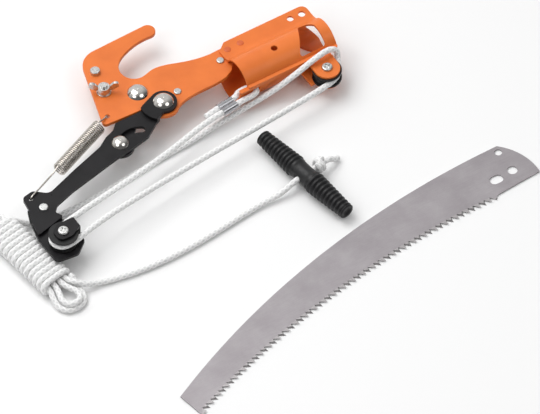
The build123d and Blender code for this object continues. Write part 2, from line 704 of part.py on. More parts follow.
with BuildPart() as spring:
    with BuildSketch(spring_plane.offset(coil_start)):
        Circle(spring_radius)
        Circle(spring_radius - spring_wire, mode=Mode.SUBTRACT)
    extrude(amount=coil_length)
    for end in (0, 1):
        cap = coil_start if end == 0 else coil_start + coil_length - spring_wire
        with BuildSketch(spring_plane.offset(cap)):
            Circle(spring_radius)
        extrude(amount=spring_wire)
    for near, far in ((coil_start + 0.4, 0.0), (coil_start + coil_length - 0.4, spring_span)):
        out = 1 if far > near else -1
        with BuildLine():
            hook_path = FilletPolyline(along_spring(near, hook_lift), along_spring(far, hook_lift),
                                       along_spring(far, -hook_lift), along_spring(far - out * 4.0, -hook_lift),
                                       radius=[1.3, 1.3])
        with BuildSketch(Plane(hook_path @ 0, z_dir=hook_path % 0)):
            Circle(spring_wire / 2)
        sweep(path=hook_path)
keep(spring.part, "return_spring")

# ---------------------------------------------------------------- saw blade, lying beside the head
saw_tip_back = (-138.5, -250.0)
saw_tip_edge = (-133.5, -275.4)
saw_back_mid = (21.0, -188.4)
saw_back_end = (213.0, -164.3)
saw_tang_low = (228.2, -204.6)
saw_heel = (188.5, -207.4)
tooth_line_start = (183.6, -211.5)
tooth_line_mid = (36.0, -224.6)
saw_bolt_hole = (210.6, -170.4)
saw_holes_turn = math.radians(268.7)      # direction from the bolt's hole to the stud's
saw_holes_apart = math.hypot(saw_bolt[0] - saw_stud[0], saw_bolt[1] - saw_stud[1])
saw_stud_hole = (saw_bolt_hole[0] + saw_holes_apart * math.cos(saw_holes_turn),
                 saw_bolt_hole[1] + saw_holes_apart * math.sin(saw_holes_turn))
saw_slot = (194.0, -193.6)
saw_slot_length, saw_slot_width = 11.8, 8.4
saw_floor = 0.0

with BuildLine(mode=Mode.PRIVATE) as tooth_guide:
    guide = ThreePointArc(tooth_line_start, tooth_line_mid, saw_tip_edge)

teeth = []
for n in range(tooth_count):
    here = n / tooth_count
    step = 1 / tooth_count
    tip = guide @ here
    root = guide @ (here + step * tooth_lean)
    along = guide % (here + step * tooth_lean)
    inward = Vector(along.Y, -along.X) if along.X < 0 else Vector(-along.Y, along.X)
    inward = inward if inward.Y > 0 else inward * -1
    gullet = root + inward * tooth_depth
    teeth += [(tip.X, tip.Y), (gullet.X, gullet.Y)]
teeth[-1] = saw_tip_edge      # the last tooth runs out at the blade's tip

with BuildPart() as saw_blade:
    with BuildSketch(Plane.XY.offset(saw_floor)):
        with BuildLine():
            ThreePointArc(saw_tip_back, saw_back_mid, saw_back_end)
            ThreePointArc(saw_back_end, (222.6, -176.5), saw_tang_low)
            Line(saw_tang_low, saw_heel)
            ThreePointArc(saw_heel, (185.0, -208.6), teeth[0])
            Polyline(*teeth)
            Line(saw_tip_edge, saw_tip_back)
        make_face()
        with Locations(saw_bolt_hole):
            Circle(saw_bolt_radius + saw_hole_clearance, mode=Mode.SUBTRACT)
        with Locations(saw_stud_hole):
            Circle(saw_stud_radius + saw_hole_clearance, mode=Mode.SUBTRACT)
        with Locations(Location((saw_slot[0], saw_slot[1], 0), (0, 0, -2))):
            SlotOverall(saw_slot_length, saw_slot_width, mode=Mode.SUBTRACT)
    extrude(amount=saw_thickness)
keep(saw_blade.part, "saw_blade")

# ---------------------------------------------------------------- rope
rope_radius = rope_diameter / 2
lay_z = rope_radius + 0.1     # middle of the rope where it lies on the table
running_radius = groove_radius + rope_radius + rope_gap


def bend_radii(points, held=None):
    """Radius at each inner point: as large as its two runs allow, or the size of what the rope goes round."""
    radii = []
    for n in range(1, len(points) - 1):
        a = Vector(*points[n]) - Vector(*points[n - 1])
        b = Vector(*points[n + 1]) - Vector(*points[n])
        half_turn = math.radians(a.get_angle(b)) / 2
        radius = 0.45 * min(a.length, b.length) / math.tan(half_turn)
        if held and n in held:
            radius = min(radius, held[n])
        radii.append(radius)
    return radii


def round_wheel(centre, level, start, turn, corners):
    """Corners of the rope's route round a pulley: start and turn in degrees, counted anticlockwise."""
    half = math.radians(abs(turn) / corners / 2)
    route = []
    for n in range(corners):
        angle = math.radians(start + turn * (n + 0.5) / corners)
        reach = running_radius / math.cos(half)
        route.append((centre[0] + reach * math.cos(angle), centre[1] + reach * math.sin(angle), level))
    return route


def rope_tube(points, name, held=None):
    """Round rope of straight runs and tangent arcs through the points."""
    radii = bend_radii(points, held)
    with BuildPart() as tube:
        with BuildLine():
            route = FilletPolyline(*points, radius=radii)
        with BuildSketch(Plane(route @ 0, z_dir=route % 0)):
            Circle(rope_radius)
        sweep(path=route)
    section = math.pi * rope_radius**2
    print(name, "length", round(route.length, 1), "volume over section x length",
          round(tube.part.volume / section / route.length, 4))
    print("   radii", [round(r, 1) for r in radii])
    keep_cord(tube.part, name)


# ferrule: a pressed double sleeve round the rope's end and its standing part
ferrule_middle = (45.5, -23.8, 15.0)
ferrule_half_length = 7.0
ferrule_turn = 6.5
ferrule_wall = 0.9
strand_spacing = rope_diameter + 0.6
ferrule_ux, ferrule_uy = math.cos(math.radians(ferrule_turn)), math.sin(math.radians(ferrule_turn))


def in_ferrule(along, side):
    """Point on the upper (side 1) or lower (side -1) strand in the ferrule."""
    return (ferrule_middle[0] + ferrule_ux * along - ferrule_uy * side * strand_spacing / 2,
            ferrule_middle[1] + ferrule_uy * along + ferrule_ux * side * strand_spacing / 2,
            ferrule_middle[2])


with BuildPart() as ferrule:
    ferrule_plane = Plane((ferrule_middle[0] - ferrule_ux * ferrule_half_length,
                           ferrule_middle[1] - ferrule_uy * ferrule_half_length, ferrule_middle[2]),
                          x_dir=(-ferrule_uy, ferrule_ux, 0), z_dir=(ferrule_ux, ferrule_uy, 0))
    with BuildSketch(ferrule_plane):
        with Locations((strand_spacing / 2, 0), (-strand_spacing / 2, 0)):
            Circle(rope_radius + ferrule_wall)
        with Locations((strand_spacing / 2, 0), (-strand_spacing / 2, 0)):
            Circle(rope_radius + running_clearance, mode=Mode.SUBTRACT)
    extrude(amount=2 * ferrule_half_length)
keep_cord(ferrule.part, "rope_ferrule")

loop_out = pole_y - socket_outer - rope_radius - 0.5
loop_in = pole_y - socket_inner + rope_radius + 0.8
rope_loop_route = [
    (25.0, -23.6, 14.2),
    in_ferrule(-12, 1),
    in_ferrule(10.5, 1),
    (60.8, -16.4, 16.6),
    (rope_hole_x, loop_in, rope_hole_z),
    (rope_hole_x, loop_out, rope_hole_z - 0.4),
    in_ferrule(12, -1),
    in_ferrule(-8, -1),
]
rope_tube(rope_loop_route, "rope_loop", {1: 40.0, 2: 8.0, 3: 9.0, 4: 3.9, 5: 3.9, 6: 60.0})

level_a = lever_pulley_z
level_c = socket_pulley_z
wheel_corner = round_wheel(pulley_axis, level_c, -82, 56, 1)
before_wheel = (98.0, -52.6, 16.8)
rope_joint = tuple(a + (b - a) * 0.64 for a, b in zip(before_wheel, wheel_corner[0]))
rope_drive_route = [
    in_ferrule(-8, -1),
    in_ferrule(-24, -1),
    (-26.0, -42.2, 15.6),
    (-76.0, -53.6, 19.8),
    (-118.0, -62.9, 24.2),
    *round_wheel(lever_pulley_axis, level_a, 103, 184, 3),
    (-112.0, -79.6, 24.4),
    (-62.0, -70.4, 20.6),
    (-8.0, -62.6, 17.4),
    (46.0, -56.8, 16.0),
    before_wheel,
    rope_joint,
]
rope_tube(rope_drive_route, "rope_drive", {5: running_radius * 0.9, 6: running_radius * 0.9, 7: running_radius * 0.9})

rope_tail_route = [
    rope_joint,
    *wheel_corner,
    (145.6, -31.2, 18.4),
    (147.4, -28.2, 26.2),
    (139.4, -27.8, 32.0),
    (122.0, -29.4, 28.8),
    (106.0, -28.6, 20.2),
    (86.0, -27.6, 12.0),
    (62.0, -26.4, 6.4),
    (34.0, -27.6, 3.4),
    (4.0, -31.0, lay_z),
    (-30.0, -33.4, lay_z),
    (-66.0, -38.6, lay_z),
    (-104.0, -41.6, lay_z),
    (-134.0, -41.0, lay_z),
    (-155.0, -34.4, lay_z),
]
rope_tube(rope_tail_route, "rope_tail", {1: running_radius * 0.95})

# hank: folded lengths wrapped round and round, and loose bights at its foot
hank_height = 3 * rope_diameter + 0.5
hank_top = (-172.8, -30.5)
hank_turn = -82.73            # degrees, direction from its top to its foot
hank_ax, hank_ay = math.cos(math.radians(hank_turn)), math.sin(math.radians(hank_turn))


def in_hank(along, across):
    """Point this far down the hank from its top, and this far to the side that the lever is on."""
    return (hank_top[0] + hank_ax * along - hank_ay * across, hank_top[1] + hank_ay * along + hank_ax * across)


wrap_half = 15.6
bight_half = 16.6
with BuildPart() as hank:
    with BuildSketch():
        with BuildLine():
            FilletPolyline(in_hank(-7.5, 12), in_hank(2, wrap_half), in_hank(78, wrap_half), in_hank(84, bight_half),
                           in_hank(104, bight_half), in_hank(104, -bight_half), in_hank(84, -bight_half),
                           in_hank(78, -wrap_half), in_hank(2, -wrap_half), in_hank(-7.5, -12), in_hank(-7.5, 12),
                           radius=[4.0, 4.0, 6.0, 6.0, 14.0, 14.0, 6.0, 6.0, 4.0, 4.0])
        make_face()
    extrude(amount=hank_height)
    fillet(hank.faces().sort_by(Axis.Z)[-1].edges(), 3.0)
keep_cord(hank.part, "rope_hank")

# toggle handle: two tapering ribbed halves and a smooth waist that the rope goes through
handle_end_a = (55.0, -63.0)
handle_end_b = (70.5, -164.5)
handle_middle = ((handle_end_a[0] + handle_end_b[0]) / 2, (handle_end_a[1] + handle_end_b[1]) / 2)
handle_angle = math.degrees(math.atan2(handle_end_b[1] - handle_end_a[1], handle_end_b[0] - handle_end_a[0]))
handle_end_radius = 6.0
waist_radius = 8.0
waist_half = 9.0
handle_hole_radius = rope_radius + 0.6
handle_plane = Plane((handle_middle[0], handle_middle[1], handle_radius),
                     x_dir=(math.cos(math.radians(handle_angle)), math.sin(math.radians(handle_angle)), 0),
                     z_dir=(0, 0, 1))
half = handle_length / 2
with BuildPart() as handle:
    with BuildSketch(handle_plane):
        with BuildLine():
            Polyline((-half, 0), (-half, handle_end_radius - 1), (-half + 1, handle_end_radius),
                     (-waist_half - 2, handle_radius), (-waist_half, waist_radius), (waist_half, waist_radius),
                     (waist_half + 2, handle_radius), (half - 1, handle_end_radius), (half, handle_end_radius - 1),
                     (half, 0), (-half, 0))
        make_face()
    revolve(axis=Axis(handle_plane.origin, handle_plane.x_dir))
    with BuildSketch(Plane(handle_plane.origin, x_dir=handle_plane.x_dir, z_dir=handle_plane.y_dir)):
        Circle(handle_hole_radius)
    extrude(amount=handle_radius * 2, both=True, mode=Mode.SUBTRACT)
keep_cord(handle.part, "toggle_handle")

across = (math.cos(math.radians(handle_angle + 90)), math.sin(math.radians(handle_angle + 90)))


def beside_handle(distance, height):
    """Point level with the handle's hole, this far from the handle's axis."""
    return (handle_middle[0] + across[0] * distance, handle_middle[1] + across[1] * distance, height)


knot_radius = 5.6
knot_centre = beside_handle(handle_radius + knot_radius + 0.2, handle_radius)
rope_pull_route = [
    (-144.9, -115.7, lay_z),
    (-122.0, -120.9, lay_z),
    (-89.0, -125.6, lay_z),
    (-54.0, -125.2, lay_z),
    (-18.0, -121.3, lay_z),
    (16.0, -116.6, lay_z),
    beside_handle(-26.0, 4.6),
    beside_handle(-11.0, handle_radius),
    beside_handle(waist_radius + 1.4, handle_radius),
]
rope_tube(rope_pull_route, "rope_pull")

with BuildPart() as knot:
    with BuildSketch(Plane(knot_centre, x_dir=(across[0], across[1], 0), z_dir=(-across[1], across[0], 0))):
        with BuildLine():
            ThreePointArc((-knot_radius, 0), (0, knot_radius), (knot_radius, 0))
            Line((knot_radius, 0), (-knot_radius, 0))
        make_face()
    revolve(axis=Axis(knot_centre, (across[0], across[1], 0)))
keep_cord(knot.part, "toggle_knot")

knot_far = beside_handle(handle_radius + 2 * knot_radius + 0.3, handle_radius)
rope_end_route = [
    knot_far,
    beside_handle(handle_radius + 2 * knot_radius + 5.0, handle_radius),
    (knot_far[0] + 9.0, knot_far[1] + 1.2, 5.4),
    (knot_far[0] + 14.0, knot_far[1] + 3.4, lay_z),
]
rope_tube(rope_end_route, "rope_end")

# ---------------------------------------------------------------- common origin and files
low = [1e9, 1e9, 1e9]
high = [-1e9, -1e9, -1e9]
for piece in made.values():
    box = piece.bounding_box()
    for axis, (a, b) in enumerate(zip((box.min.X, box.min.Y, box.min.Z), (box.max.X, box.max.Y, box.max.Z))):
        low[axis] = min(low[axis], a)
        high[axis] = max(high[axis], b)
shift = Location((-(low[0] + high[0]) / 2, -(low[1] + high[1]) / 2, -low[2]))
print("lever pivot at", [round(v, 4) for v in shift.position])

os.makedirs("parts", exist_ok=True)
for name, piece in {**made, **cords}.items():
    placed = piece.moved(shift)
    placed.label = name
    export_step(placed, f"parts/{name}.step")
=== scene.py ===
import json
import math

import bpy
import bmesh
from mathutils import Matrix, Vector


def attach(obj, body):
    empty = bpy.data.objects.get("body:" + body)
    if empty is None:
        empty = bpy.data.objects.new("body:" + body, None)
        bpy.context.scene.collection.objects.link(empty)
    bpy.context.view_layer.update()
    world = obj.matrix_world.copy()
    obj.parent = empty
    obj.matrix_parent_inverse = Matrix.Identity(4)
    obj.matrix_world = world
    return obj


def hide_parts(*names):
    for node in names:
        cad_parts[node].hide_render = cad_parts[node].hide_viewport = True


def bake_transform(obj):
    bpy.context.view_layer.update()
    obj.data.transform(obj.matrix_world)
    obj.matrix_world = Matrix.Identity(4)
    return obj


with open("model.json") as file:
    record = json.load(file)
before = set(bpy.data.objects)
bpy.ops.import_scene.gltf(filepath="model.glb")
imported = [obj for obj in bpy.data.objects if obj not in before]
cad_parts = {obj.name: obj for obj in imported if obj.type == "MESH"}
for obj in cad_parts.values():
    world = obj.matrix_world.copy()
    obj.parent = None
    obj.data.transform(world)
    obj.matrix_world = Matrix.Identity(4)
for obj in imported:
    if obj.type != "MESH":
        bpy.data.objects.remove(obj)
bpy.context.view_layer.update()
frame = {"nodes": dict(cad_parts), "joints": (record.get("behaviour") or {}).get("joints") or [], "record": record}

# places below are in millimetres from the lever's pivot
mm = 0.001
joints = {j["name"]: j for j in frame["joints"]}
pivot = Vector(joints["lever_pivot"]["pos_m"])
record = frame["record"]


def place(x, y, z):
    return Vector((pivot.x + x * mm, pivot.y + y * mm, z * mm))


# paints, platings, plastics and rope
def newMaterial(name, color, roughness, metallic=0.0, coat=0.0, sheen=0.0, specular=0.5):
    mat = bpy.data.materials.new(name)
    mat.use_nodes = True
    tree = mat.node_tree
    shader = tree.nodes["Principled BSDF"]
    shader.inputs["Base Color"].default_value = (*color, 1)
    shader.inputs["Roughness"].default_value = roughness
    shader.inputs["Metallic"].default_value = metallic
    shader.inputs["Coat Weight"].default_value = coat
    shader.inputs["Coat Roughness"].default_value = 0.15
    shader.inputs["Sheen Weight"].default_value = sheen
    shader.inputs["Specular IOR Level"].default_value = specular
    mat.diffuse_color = (*color, 1)
    return mat, tree, shader


def objectCoords(tree, scale=(1, 1, 1), turn=0.0):
    coords = tree.nodes.new("ShaderNodeTexCoord")
    mapping = tree.nodes.new("ShaderNodeMapping")
    mapping.inputs["Scale"].default_value = scale
    mapping.inputs["Rotation"].default_value = (0, 0, turn)
    tree.links.new(coords.outputs["Object"], mapping.inputs["Vector"])
    return mapping.outputs["Vector"]


def noise(tree, vector, scale, detail=3.0, roughness=0.5):
    node = tree.nodes.new("ShaderNodeTexNoise")
    node.inputs["Scale"].default_value = scale
    node.inputs["Detail"].default_value = detail
    node.inputs["Roughness"].default_value = roughness
    tree.links.new(vector, node.inputs["Vector"])
    return node.outputs["Fac"]


def ramp(tree, factor, stops):
    node = tree.nodes.new("ShaderNodeValToRGB")
    while len(node.color_ramp.elements) < len(stops):
        node.color_ramp.elements.new(0.5)
    for element, (position, color) in zip(node.color_ramp.elements, stops):
        element.position = position
        element.color = (*color, 1) if len(color) == 3 else color
    tree.links.new(factor, node.inputs["Fac"])
    return node.outputs["Color"]


def rampInto(tree, shader, socket, factor, stops):
    # the shader's socket takes the factor through a ramp
    tree.links.new(ramp(tree, factor, stops), shader.inputs[socket])


def grey(value):
    return (value, value, value)


def bump(tree, shader, height, strength, distance):
    node = tree.nodes.new("ShaderNodeBump")
    node.inputs["Strength"].default_value = strength
    node.inputs["Distance"].default_value = distance
    tree.links.new(height, node.inputs["Height"])
    tree.links.new(node.outputs["Normal"], shader.inputs["Normal"])


def paintedSteel(name, color, darker, roughness, coat, peel, specular=0.4):
    mat, tree, shader = newMaterial(name, color, roughness, coat=coat, specular=specular)
    vector = objectCoords(tree)
    rampInto(tree, shader, "Base Color", noise(tree, vector, 45, 4), [(0.3, darker), (0.62, color)])
    grain = noise(tree, vector, 1400, 2)
    rampInto(tree, shader, "Roughness", noise(tree, vector, 160, 5),
             [(0.25, grey(roughness - 0.06)), (0.75, grey(roughness + 0.1))])
    bump(tree, shader, grain, peel, 0.00012)
    return mat


def platedSteel(name, color, roughness, scratch):
    mat, tree, shader = newMaterial(name, color, roughness, metallic=1.0)
    vector = objectCoords(tree)
    darker = tuple(c * 0.78 for c in color)
    rampInto(tree, shader, "Base Color", noise(tree, vector, 260, 5, 0.65), [(0.3, darker), (0.65, color)])
    rampInto(tree, shader, "Roughness", noise(tree, vector, 420, 4),
             [(0.3, grey(roughness * 0.75)), (0.7, grey(roughness * 1.5))])
    bump(tree, shader, noise(tree, vector, 900, 3), scratch, 0.00008)
    return mat


orangePaint = paintedSteel("orange powder coat", (0.79, 0.185, 0.026), (0.71, 0.155, 0.02), 0.44, 0.08, 0.12)
blackEnamel = paintedSteel("black satin enamel", (0.012, 0.0112, 0.0125), (0.007, 0.0066, 0.0075), 0.33,
                           0.0, 0.2, specular=0.22)
nickelPlate = platedSteel("bright nickel", (0.74, 0.715, 0.68), 0.12, 0.05)
zincPlate = platedSteel("zinc plate", (0.66, 0.66, 0.65), 0.27, 0.15)
springWire = platedSteel("drawn spring wire", (0.66, 0.62, 0.57), 0.2, 0.05)
pressedAluminium = platedSteel("pressed aluminium", (0.5, 0.5, 0.52), 0.2, 0.2)
turnedBrass = platedSteel("turned brass", (0.72, 0.5, 0.2), 0.28, 0.1)


def sawSteel():
    # grey coated saw steel with fine grinding marks along the blade
    mat, tree, shader = newMaterial("coated saw steel", (0.36, 0.33, 0.345), 0.42, metallic=0.6)
    along = objectCoords(tree, scale=(60, 1400, 60), turn=math.radians(-8))
    speck = objectCoords(tree)
    marks = noise(tree, along, 1.0, 5, 0.6)
    cloud = noise(tree, speck, 38, 6, 0.6)
    mix = tree.nodes.new("ShaderNodeMath")
    mix.operation = "MULTIPLY_ADD"
    tree.links.new(marks, mix.inputs[0])
    mix.inputs[1].default_value = 0.45
    tree.links.new(cloud, mix.inputs[2])
    rampInto(tree, shader, "Base Color", mix.outputs[0],
             [(0.45, (0.31, 0.285, 0.30)), (0.72, (0.355, 0.33, 0.345)), (0.95, (0.40, 0.375, 0.39))])
    rampInto(tree, shader, "Roughness", noise(tree, speck, 700, 3), [(0.3, grey(0.34)), (0.7, grey(0.52))])
    bump(tree, shader, marks, 0.18, 0.00006)
    return mat


def groundSteel():
    # bare bright steel of the ground teeth
    mat, tree, shader = newMaterial("ground tooth steel", (0.45, 0.43, 0.43), 0.34, metallic=0.8)
    stripes = noise(tree, objectCoords(tree, scale=(900, 4000, 900)), 1.0, 3)
    rampInto(tree, shader, "Base Color", stripes, [(0.3, (0.34, 0.32, 0.33)), (0.7, (0.52, 0.5, 0.5))])
    bump(tree, shader, stripes, 0.2, 0.00005)
    return mat


def mouldedPlastic(name, color, roughness, grain):
    mat, tree, shader = newMaterial(name, color, roughness, specular=0.3)
    vector = objectCoords(tree)
    rampInto(tree, shader, "Base Color", noise(tree, vector, 90, 4),
             [(0.3, tuple(c * 0.75 for c in color)), (0.7, tuple(c * 1.25 for c in color))])
    rampInto(tree, shader, "Roughness", noise(tree, vector, 300, 3),
             [(0.3, grey(roughness - 0.07)), (0.7, grey(roughness + 0.1))])
    bump(tree, shader, noise(tree, vector, 2200, 2), grain, 0.0001)
    return mat


def braidedRope(name, strandCount, pitch):
    # white braid: two sets of strands that cross; its colour is painted shade between the strands and painted
    # light on their crowns
    # the rope's UV map is metres along it, and the share of the way round
    mat, tree, shader = newMaterial(name, (0.87, 0.87, 0.86), 0.72, sheen=0.25)
    uv = tree.nodes.new("ShaderNodeUVMap")
    uv.uv_map = "lay"
    split = tree.nodes.new("ShaderNodeSeparateXYZ")
    tree.links.new(uv.outputs["UV"], split.inputs[0])

    def wave(sign):
        turn = tree.nodes.new("ShaderNodeMath")
        turn.operation = "MULTIPLY_ADD"
        turn.inputs[1].default_value = sign * 2 * math.pi / pitch
        tree.links.new(split.outputs["X"], turn.inputs[0])
        around = tree.nodes.new("ShaderNodeMath")
        around.operation = "MULTIPLY"
        around.inputs[1].default_value = 2 * math.pi * strandCount
        tree.links.new(split.outputs["Y"], around.inputs[0])
        tree.links.new(around.outputs[0], turn.inputs[2])
        cosine = tree.nodes.new("ShaderNodeMath")
        cosine.operation = "COSINE"
        tree.links.new(turn.outputs[0], cosine.inputs[0])
        return cosine.outputs[0]

    crown = tree.nodes.new("ShaderNodeMath")
    crown.operation = "MAXIMUM"
    tree.links.new(wave(1), crown.inputs[0])
    tree.links.new(wave(-1), crown.inputs[1])
    # painted shade: the base colour is darker in the crevices between the strands, and lighter on the crowns as
    # painted light
    rampInto(tree, shader, "Base Color", crown.outputs[0],
             [(0.0, (0.74, 0.74, 0.74)), (0.5, (0.87, 0.87, 0.865)), (1.0, (0.92, 0.92, 0.915))])
    bump(tree, shader, crown.outputs[0], 0.35, 0.0003)
    return mat


sawBody = sawSteel()
toothSteel = groundSteel()
pulleyNylon = mouldedPlastic("black nylon", (0.012, 0.012, 0.0125), 0.42, 0.25)
handleRubber = mouldedPlastic("ribbed black plastic", (0.017, 0.017, 0.018), 0.36, 0.35)
ropeBraid = braidedRope("braided white polyester", 4, 0.0052)

materialForSlot = {
    "orange_steel": orangePaint,
    "nickel_plate": nickelPlate,
    "zinc_steel": zincPlate,
    "black_steel": blackEnamel,
    "pulley_black": pulleyNylon,
    "brass_bush": turnedBrass,
    "spring_steel": springWire,
    "aluminium_ferrule": pressedAluminium,
    "white_rope": ropeBraid,
    "handle_black": handleRubber,
    "saw_steel": sawBody,
}
for row in record["subparts"]:
    node = frame["nodes"][row["node"]]
    node.data.materials.clear()
    node.data.materials.append(materialForSlot[row["material_slot"]])
print("materials done")


# meshes from points and faces
def addMesh(name, verts, faces, material, smooth=True):
    mesh = bpy.data.meshes.new(name)
    mesh.from_pydata([tuple(v) for v in verts], [], faces)
    mesh.update()
    piece = bpy.data.objects.new(name, mesh)
    bpy.context.scene.collection.objects.link(piece)
    mesh.materials.append(material)
    for face in mesh.polygons:
        face.use_smooth = smooth
    return piece


def outwards(piece, distance=0.00001):
    work = bmesh.new()
    work.from_mesh(piece.data)
    bmesh.ops.remove_doubles(work, verts=work.verts, dist=distance)
    bmesh.ops.recalc_face_normals(work, faces=work.faces)
    work.to_mesh(piece.data)
    work.free()


def smoothLine(points, perPoint):
    # points along a NURBS spline that follows the route
    curve = bpy.data.curves.new("route", "CURVE")
    curve.dimensions = "3D"
    curve.resolution_u = perPoint
    spline = curve.splines.new("NURBS")
    spline.points.add(len(points) - 1)
    for point, co in zip(spline.points, points):
        point.co = (*co, 1)
    spline.order_u = 3
    spline.use_endpoint_u = True
    line = bpy.data.objects.new("route", curve)
    bpy.context.scene.collection.objects.link(line)
    graph = bpy.context.evaluated_depsgraph_get()
    mesh = bpy.data.meshes.new_from_object(line.evaluated_get(graph))
    path = [v.co.copy() for v in mesh.vertices]
    bpy.data.objects.remove(line)
    bpy.data.meshes.remove(mesh)
    return path


def evenly(path, step):
    total = sum((b - a).length for a, b in zip(path, path[1:]))
    count = max(2, round(total / step))
    spaced = [path[0]]
    walked, index = 0.0, 0
    for n in range(1, count):
        target = total * n / count
        while walked + (path[index + 1] - path[index]).length < target:
            walked += (path[index + 1] - path[index]).length
            index += 1
        span = (path[index + 1] - path[index]).length
        spaced.append(path[index].lerp(path[index + 1], (target - walked) / span))
    spaced.append(path[-1])
    return spaced, total


def ropeTube(name, points, size):
    # round braided rope along the points, with low crowns where its strands cross over
    path, length = evenly(smoothLine(points, size["perPoint"]), size["step"])
    around = size["around"]
    verts, faces, lay = [], [], []
    normal = None
    walked = 0.0
    for n, here in enumerate(path):
        ahead = path[min(n + 1, len(path) - 1)] - path[max(n - 1, 0)]
        ahead.normalize()
        if normal is None:
            normal = ahead.orthogonal().normalized()
        normal = (normal - ahead * normal.dot(ahead)).normalized()
        side = ahead.cross(normal)
        if n:
            walked += (here - path[n - 1]).length
        for k in range(around):
            angle = 2 * math.pi * k / around
            crown = max(math.cos(size["strands"] * angle + 2 * math.pi * walked / size["pitch"]),
                        math.cos(size["strands"] * angle - 2 * math.pi * walked / size["pitch"]))
            radius = size["diameter"] / 2 * (0.965 + 0.035 * crown)
            verts.append(here + (normal * math.cos(angle) + side * math.sin(angle)) * radius)
        lay.append(walked)
    for n in range(len(path) - 1):
        for k in range(around):
            k2 = (k + 1) % around
            faces.append((n * around + k, n * around + k2, (n + 1) * around + k2, (n + 1) * around + k))
    faces.append(tuple(reversed(range(around))))
    last = (len(path) - 1) * around
    faces.append(tuple(last + k for k in range(around)))
    piece = addMesh(name, verts, faces, ropeBraid)
    layer = piece.data.uv_layers.new(name="lay")
    for face in piece.data.polygons:
        for corner, vert in zip(face.loop_indices, face.vertices):
            k = vert % around
            share = k / around
            if len(face.vertices) == 4 and k == 0 and max(v % around for v in face.vertices) == around - 1:
                share = 1.0
            layer.data[corner].uv = (lay[vert // around], share)
    return piece, path, length


def lathe(name, profile, count, at, material, axis=Vector((0, 0, 1))):
    # profile is radius and height pairs in millimetres, from the low end up the axis
    verts, faces = [], []
    turnTo = axis.to_track_quat("Z", "Y")
    for radius, height in profile:
        for k in range(count):
            angle = 2 * math.pi * k / count
            spot = Vector((radius * mm * math.cos(angle), radius * mm * math.sin(angle), height * mm))
            verts.append(at + turnTo @ spot)
    for n in range(len(profile) - 1):
        for k in range(count):
            k2 = (k + 1) % count
            faces.append((n * count + k, (n + 1) * count + k, (n + 1) * count + k2, n * count + k2))
    faces.append(tuple(range(count)))
    faces.append(tuple((len(profile) - 1) * count + k for k in reversed(range(count))))
    piece = addMesh(name, verts, faces, material)
    outwards(piece)
    return piece


# both ropes keep close to the rope solids; how the pull rope lies inside the hank is laid out here
# sizes of the rope in metres, and of the pull rope's coarser mesh
rope = {"diameter": 0.005, "step": 0.0009, "around": 16, "strands": 4, "pitch": 0.0052, "perPoint": 24}
pullRopeMesh = {"step": 0.00115, "around": 14}
# the rest in millimetres
ropeDiameter = 5.0
floorGap = 0.1
wheelCore = 7.0
wheelGap = 0.25
lowZ = ropeDiameter / 2 + floorGap
runningRadius = wheelCore + ropeDiameter / 2 + wheelGap
leverWheel = (-142.0, -79.0, 25.4)
socketWheel = (131.0, -38.7, 17.6)
ferrule = {"middle": (45.5, -23.8, 15.0), "turn": 6.5, "spacing": 5.6}


def inFerrule(along, side):
    ux, uy = math.cos(math.radians(ferrule["turn"])), math.sin(math.radians(ferrule["turn"]))
    x, y, z = ferrule["middle"]
    reach = side * ferrule["spacing"] / 2
    return (x + ux * along - uy * reach, y + uy * along + ux * reach, z)


def roundWheel(wheel, start, turn, corners):
    half = math.radians(abs(turn) / corners / 2)
    reach = runningRadius / math.cos(half)
    angles = [math.radians(start + turn * (n + 0.5) / corners) for n in range(corners)]
    return [(wheel[0] + reach * math.cos(a), wheel[1] + reach * math.sin(a), wheel[2]) for a in angles]


beforeWheel = (98.0, -52.6, 16.8)
wheelCorner = roundWheel(socketWheel, -82, 56, 1)
ropeJoint = tuple(a + (b - a) * 0.64 for a, b in zip(beforeWheel, wheelCorner[0]))
workingRoute = [
    (25.0, -23.6, 14.2),
    inFerrule(-12, 1),
    inFerrule(10.5, 1),
    (60.8, -16.4, 16.6),
    (74.0, -17.6, 16.8),
    (74.0, -25.7, 16.4),
    inFerrule(12, -1),
    inFerrule(-8, -1),
    inFerrule(-24, -1),
    (-26.0, -42.2, 15.6),
    (-76.0, -53.6, 19.8),
    (-118.0, -62.9, 24.2),
    *roundWheel(leverWheel, 103, 184, 3),
    (-112.0, -79.6, 24.4),
    (-62.0, -70.4, 20.6),
    (-8.0, -62.6, 17.4),
    (46.0, -56.8, 16.0),
    beforeWheel,
    ropeJoint,
]
workingRope, workingPath, workingLength = ropeTube("working_rope", [place(*p) for p in workingRoute], rope)
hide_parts("rope_loop", "rope_drive")
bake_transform(workingRope)
print("working rope", round(workingLength, 3))

# the hank: folded lengths inside, wrapped round by the same rope, with loose bights at its foot
hank = {"top": (-172.8, -30.5), "turn": -82.73, "middle": 7.75, "layer": 5.15, "run": 5.2, "wraps": 14,
        "pitch": 5.32, "firstWrap": 1.5, "foldLift": 2.65}


def inHank(along, across, height):
    ax, ay = math.cos(math.radians(hank["turn"])), math.sin(math.radians(hank["turn"]))
    x, y = hank["top"]
    return (x + ax * along - ay * across, y + ay * along + ax * across, height)


